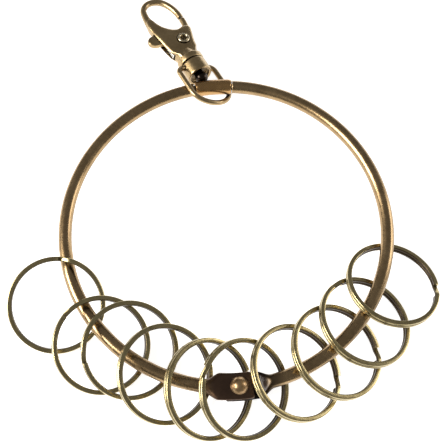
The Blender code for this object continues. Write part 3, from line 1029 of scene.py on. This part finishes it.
@dataclass
class Clasp:
    """The swivel snap clasp: bail, pin, hook, gate and their small parts.

    Its pieces are modelled flat, with the hoop's tube at the origin, the clasp's axis along +Y and its
    front up, and then placed.
    """

    hoop: Hoop
    angle: float = 97.0
    heading: float = 30.0
    pitch: float = -4.5
    drop: float = 0.4 * MM
    bail_turn: float = 32.0
    hook_turn: float = 10.0
    pivot: Vector = field(default_factory=lambda: Vector((1.4 * MM, 20.1 * MM, 0)))
    pin_d: float = 2 * MM
    thickness: float = 5 * MM
    slot_height: float = 2.6 * MM
    slot_low: float = 15.4 * MM
    slot_high: float = 26.7 * MM
    outline: tuple = (
        (4.2, 12.6), (4.6, 14.6), (4.7, 17.6), (5.3, 20.2), (6.0, 22.4), (6.5, 24.4), (6.2, 25.4),
        (5.2, 25.9), (3.8, 25.8), (2.6, 25.3), (1.6, 25.1), (0.4, 25.5), (-0.9, 26.6), (-2.0, 28.1),
        (-2.9, 30.0), (-3.7, 32.4), (-4.8, 33.2), (-5.9, 32.2), (-6.35, 30.0), (-6.25, 27.0),
        (-5.9, 24.0), (-5.3, 19.6), (-4.6, 15.6), (-4.2, 12.6),
    )
    hook_wire: tuple = (
        (-4.3, 27.0, 1.9), (-4.75, 30.0, 1.7), (-4.85, 32.5, 1.45), (-4.75, 34.9, 1.2), (-4.1, 37.9, 1.1),
        (-2.2, 39.8, 1.1), (0.5, 40.2, 1.1), (3.1, 39.0, 1.1), (4.9, 36.2, 1.1), (5.8, 33.0, 1.1),
        (5.95, 30.4, 1.05),
    )
    lever: tuple = (
        (2.5, 0.4), (3.5, 2.6), (4.5, 4.6), (3.4, 5.0), (1.7, 3.6), (0.0, 2.6), (-2.4, 3.4), (-5.2, 4.9),
        (-7.4, 6.1), (-9.2, 6.1), (-10.4, 5.0), (-10.4, 3.4), (-9.0, 2.2), (-6.6, 1.8), (-3.8, 0.9),
        (-2.6, 0.3), (-1.9, -1.2), (-0.7, -2.3), (1.0, -2.3), (2.2, -1.2),
    )
    gate_bar: tuple = ((4.0, 4.6), (4.45, 7.0), (4.65, 9.6))
    bail_wire: float = 0.87 * MM  # 0.95 in the solid; thinner here, to clear the arm when raised
    bail_half: float = 7.3 * MM
    bail_shoulder: float = 9.3 * MM
    bail_corner: float = 2.2 * MM
    bend_start: float = -0.3 * MM
    bend_bottom: float = -6.3 * MM
    collar_low: float = 5.6 * MM
    collar_high: float = 10.7 * MM
    collar_radius: float = 4.2 * MM
    collar_wall: float = 0.9 * MM
    bore_radius: float = 1.5 * MM
    ball_radius: float = 2.1 * MM
    ball_low: float = 2.85 * MM
    stem_radius: float = 1.2 * MM
    stem_top: float = 14.4 * MM
    flange_low: float = 11.0 * MM
    flange_high: float = 13.2 * MM
    flange_radius: float = 4.3 * MM
    eyelet_rim: float = 1.95 * MM
    eyelet_roll: float = 0.4 * MM
    gate_radius: float = 1.05 * MM
    lever_thickness: float = 1.9 * MM
    spring_x: float = -3.6 * MM
    spring_low: float = 15.9 * MM
    spring_high: float = 20.4 * MM
    spring_coil: float = 0.8 * MM
    spring_wire: float = 0.2 * MM
    spring_turns: int = 7

    @property
    def axis_frame(self) -> Matrix:
        """Finds the clasp's axis, from the hoop's tube outwards along +Y.

        Returns:
            The frame.
        """
        hoop = self.hoop
        heading = Matrix.Rotation(math.radians(self.heading), 4, "Z")
        pitch = Matrix.Rotation(math.radians(self.pitch), 4, "X")
        return hoop.frame @ Matrix.Translation(hoop.at(self.angle, -self.drop)) @ heading @ pitch

    @property
    def bail_frame(self) -> Matrix:
        """The bail's own frame."""
        return self.axis_frame @ Matrix.Rotation(math.radians(self.bail_turn), 4, "Y")

    @property
    def hook_frame(self) -> Matrix:
        """The hook's own frame."""
        return self.axis_frame @ Matrix.Rotation(math.radians(self.hook_turn), 4, "Y")

    def build(self) -> None:
        """Builds and dresses every piece of the clasp."""
        brass = CLASP_FINISH.make()
        hook = Body.HOOK.value
        dress(self._bail(), brass, Body.BAIL.value, ("swivel_bail",))
        dress(self._pin(), PIN_FINISH.make(), hook, ("swivel_pin",))
        dress(self._body(), brass, hook, ("hook_body",))
        dress(self._eyelet(), EYELET_FINISH.make(), hook, ("gate_rivet",))
        dress(self._gate(), brass, Body.GATE.value, ("hook_gate",))
        spring = self._spring()
        dress(spring, SPRING_FINISH.make(), hook, ("gate_spring",))
        axis = self.hook_frame.to_3x3() @ Vector((0, 1, 0))
        tuple(self._spring_foot())
        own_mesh(spring)

    def _spring_foot(self) -> Vector:
        """Returns the place of the spring's fixed end."""
        return self.hook_frame @ Vector((self.spring_x, self.spring_low, 0))

    def _bail(self) -> bpy.types.Object:
        """Bends the bail from round wire, and fuses its collar to it.

        Returns:
            The bail.
        """
        half, shoulder, corner = self.bail_half, self.bail_shoulder, self.bail_corner
        start, bottom = self.bend_start, self.bend_bottom
        arm = [Vector((-2.1 * MM - (half - corner - 2.1 * MM) * i / 6, shoulder, 0)) for i in range(7)]
        arm += [
            Vector((corner - half - corner * math.sin(a), shoulder - corner + corner * math.cos(a), 0))
            for a in (math.radians(9 * i) for i in range(1, 11))
        ]
        leg_top = shoulder - corner
        arm += [Vector((-half, leg_top + (start - leg_top) * i / 8, 0)) for i in (2, 4, 6)]
        bend = [
            Vector((-half * math.cos(a), start - (start - bottom) * math.sin(a), 0))
            for a in (math.radians(5 * i) for i in range(37))
        ]
        path = arm + bend + [Vector((-p.x, p.y, 0)) for p in reversed(arm)]
        loop = wire("bail_wire", path, self.bail_wire, resolution=8)
        low, high, wide, wall = self.collar_low, self.collar_high, self.collar_radius, self.collar_wall
        soft = 0.35 * MM
        profile = [(0, high), (wide - soft - 0.3 * MM, high)]
        profile += arc((wide - soft, high - soft), soft, 90, 0, 6)
        profile += arc((wide - soft, low + soft), soft, 0, -90, 6)
        profile += [(wide - wall, low + 0.15 * MM), (wide - wall, low + 1.3 * MM), (0, low + 1.3 * MM)]
        collar = lathe("collar", profile)
        place(collar, Matrix.Rotation(-math.pi / 2, 4, "X"))
        bail = join("bail_loop", [loop, collar])
        melt(bail, 0.14 * MM, 5)
        upright = Matrix.Translation((0, 8.8 * MM, 0)) @ Matrix.Rotation(math.pi / 2, 4, "X")
        cut(bail, rod("collar_bore", self.bore_radius, 12 * MM, upright))
        place(bail, self.bail_frame)
        shade(bail, 50)
        return bail

    def _pin(self) -> bpy.types.Object:
        """Turns the swivel pin, with its rounded end inside the bail.

        Returns:
            The pin.
        """
        ball, stem, low, top = self.ball_radius, self.stem_radius, self.ball_low, self.stem_top
        reach = math.degrees(math.acos(stem / ball))
        profile = [(0, top), (stem - 0.2 * MM, top), (stem, top - 0.2 * MM)]
        profile += arc((0, low + ball), ball, reach, -90, 24)
        pin = lathe("pin", profile, 48)
        place(pin, self.hook_frame @ Matrix.Rotation(-math.pi / 2, 4, "X"))
        shade(pin, 50)
        return pin

    def _body(self) -> bpy.types.Object:
        """Casts the hook: body plate, flange and round hook in one skin, then cuts its slot.

        Returns:
            The hook's body.
        """
        outline = [p * MM for p in smooth_path(self.outline, 6, closed=True)]
        body = plate("body_plate", outline, self.thickness, 1.1 * MM)
        for vertex in body.data.vertices:
            along = vertex.co.y / MM
            vertex.co.z *= 1 - 0.34 * smoothstep((along - 23) / 9)
        low, high, wide, soft = self.flange_low, self.flange_high, self.flange_radius, 0.4 * MM
        profile = [(0, 16.0 * MM), (2.6 * MM, 16.0 * MM), (3.5 * MM, high)]
        profile += arc((wide - soft, high - soft), soft, 90, 0, 6)
        profile += arc((wide - soft, low + soft), soft, 0, -90, 6)
        profile += [(0, low)]
        flange = lathe("flange", profile)
        place(flange, Matrix.Rotation(-math.pi / 2, 4, "X"))
        path = smooth_path([(x * MM, y * MM, radius) for x, y, radius in self.hook_wire], 10)
        hook = wire("hook_wire", [Vector((p.x, p.y, 0)) for p in path], MM, [p.z for p in path])
        body = join("hook", [body, flange, hook])
        melt(body, 0.15 * MM, 6)
        self._crown(body)
        half, reach = self.slot_height / 2, 12 * MM
        slot = block("slot", Vector((-reach, self.slot_low, -half)), Vector((reach, self.slot_high, half)))
        bevel_edges(slot, 0.4 * MM)
        cut(body, slot)
        upright = Matrix.Translation((0, 11 * MM, 0)) @ Matrix.Rotation(math.pi / 2, 4, "X")
        cut(body, rod("stem_seat", self.bore_radius, 7.4 * MM, upright))
        cut(body, rod("pivot_bore", self.pin_d / 2 + FIT_GAP, 2 * self.thickness,
                      Matrix.Translation(self.pivot)))
        for side in (1, -1):
            sunk = Matrix.Translation(self.pivot + Vector((0, 0, side * (self.thickness / 2 + 0.6 * MM))))
            cut(body, rod("rivet_seat", 2.3 * MM, 1.8 * MM, sunk))
        place(body, self.hook_frame)
        shade(body, 50)
        return body

    def _crown(self, body: bpy.types.Object) -> None:
        """Rounds the body's faces down towards its two edges, and its foot to a round neck.

        Args:
            body: The fused body, in the hook's frame.
        """
        for vertex in body.data.vertices:
            x, y, z = vertex.co / MM
            half = 4.4 + 0.16 * (y - 13)
            amount = smoothstep((y - 14) / 2) * smoothstep((31 - y) / 4)
            z *= 1 - 0.30 * amount * min(abs(x) / half, 1.0) ** 2
            limit = 3.5 + 3.4 * smoothstep((y - 13.2) / 9) if y > 13.25 else 4.3
            squeeze = min(1.0, limit / max(math.hypot(x, z), 0.1)) if y < 22 else 1.0
            vertex.co = Vector((x * squeeze, y, z * squeeze)) * MM

    def _eyelet(self) -> bpy.types.Object:
        """Turns the gate's rivet: a rolled rim round a deep dimple, on both faces.

        Returns:
            The rivet.
        """
        shoulder = self.thickness / 2 + FIT_GAP / 2
        rim, roll, pin = self.eyelet_rim, self.eyelet_roll, self.pin_d / 2
        half = [(0, shoulder - 1.1 * MM), (0.75 * MM, shoulder - 1.0 * MM), (1.05 * MM, shoulder - 0.5 * MM)]
        half += arc((rim - roll, shoulder + 0.05 * MM), roll, 170, -6, 12)
        half += [(rim - 0.1 * MM, shoulder), (pin, shoulder)]
        profile = half + [(radius, -height) for radius, height in reversed(half)]
        eyelet = lathe("eyelet", profile, 48)
        place(eyelet, self.hook_frame @ Matrix.Translation(self.pivot))
        shade(eyelet, 50)
        return eyelet

    def _gate(self) -> bpy.types.Object:
        """Casts the gate bar and thumb lever in one piece.

        Returns:
            The gate.
        """
        outline = [p * MM for p in smooth_path(self.lever, 6, closed=True)]
        lever = plate("lever", outline, self.lever_thickness, 0.45 * MM)
        path = smooth_path([(x * MM, y * MM, 0) for x, y in self.gate_bar], 10)
        radii = [0.85, *[1.0] * (len(path) - 2), 0.9]
        bar = wire("bar", path, self.gate_radius, radii)
        gate = join("gate", [lever, bar])
        melt(gate, 0.12 * MM, 4)
        cut(gate, rod("gate_bore", self.pin_d / 2 + FIT_GAP, 2 * self.thickness, Matrix.Identity(4)))
        place(gate, self.hook_frame @ Matrix.Translation(self.pivot))
        shade(gate, 50)
        return gate

    def _spring(self) -> bpy.types.Object:
        """Winds the gate's coil spring.

        Returns:
            The spring.
        """
        low, high, coil, steps = self.spring_low, self.spring_high, self.spring_coil, 20
        count = self.spring_turns * steps
        points = [
            Vector((self.spring_x + coil * math.cos(2 * math.pi * i / steps), low + (high - low) * i / count,
                    coil * math.sin(2 * math.pi * i / steps)))
            for i in range(count + 1)
        ]
        spring = wire("spring", points, self.spring_wire, resolution=3)
        place(spring, self.hook_frame)
        shade(spring, 60)
        return spring


# The studio


@dataclass
class Studio:
    """The table, the lights and the camera."""

    hoop: Hoop
    table_size: float = 3.0
    lens: float = 70.0
    room_glow: float = 0.22

    def build(self) -> None:
        """Sets the stage."""
        self._table()
        self._lights()
        self._camera()

    def _table(self) -> None:
        """Lays the table as one wide sheet with a rounded rim."""
        deselect()
        bpy.ops.mesh.primitive_plane_add(size=self.table_size, location=(0, 0, -0.05 * MM))
        table = named("table")
        bpy.ops.object.mode_set(mode="EDIT")
        bpy.ops.mesh.select_all(action="SELECT")
        bpy.ops.mesh.bevel(offset=0.2, segments=6, affect="VERTICES")
        bpy.ops.object.mode_set(mode="OBJECT")
        place(table, Matrix.Identity(4))
        table.data.materials.append(FloorFinish().make())

    def _light(self, name: str, where: Place, size: float, power: float, colour: Colour) -> None:
        """Adds a square soft light that faces the object.

        Args:
            name: The light's name.
            where: Its place in metres.
            size: Its side.
            power: Its power in watts.
            colour: Its colour.
        """
        deselect()
        bpy.ops.object.light_add(type="AREA", location=where)
        lamp = named(name)
        lamp.data.size = size
        lamp.data.energy = power
        lamp.data.color = colour
        lamp.rotation_euler = (-Vector(where)).to_track_quat("-Z", "Y").to_euler()

    def _lights(self) -> None:
        """Hangs the soft lights and sets the room's glow."""
        self._light("left_window", (-0.80, -0.15, 0.55), 0.55, 14.0, (1.0, 0.98, 0.94))
        self._light("right_window", (0.85, 0.25, 0.25), 0.4, 2.2, (1.0, 0.98, 0.96))
        world = bpy.data.worlds.new("room")
        bpy.context.scene.world = world
        world.use_nodes = True
        glow = world.node_tree.nodes["Background"]
        glow.inputs["Color"].default_value = (1, 1, 1, 1)
        glow.inputs["Strength"].default_value = self.room_glow
        bpy.context.scene.view_settings.view_transform = "Standard"

    def _camera(self) -> None:
        """Aims the long lens steeply down at the hoop."""
        deselect()
        bpy.ops.object.camera_add()
        camera = named("view")
        back = -Vector((-0.003, 0.371, -0.9286)).normalized()
        right = Vector((1.0, 0.0074, 0.0))
        right = (right - right.dot(back) * back).normalized()
        turned = Matrix((right, back.cross(right), back)).transposed().to_4x4()
        stand = self.hoop.centre + Vector((0.1 * MM, -95.7 * MM, 241.8 * MM))
        camera.matrix_world = Matrix.Translation(stand) @ turned
        camera.data.lens = self.lens
        camera.data.sensor_width = 36
        bpy.context.scene.camera = camera


def main() -> None:
    """Builds the object and its studio."""
    logging.basicConfig(level=logging.INFO, format="%(message)s")
    hoop = Hoop()
    hoop.build()
    SplitRings(hoop).build()
    Clasp(hoop).build()
    Studio(hoop).build()


if __name__ == "__main__":
    main()
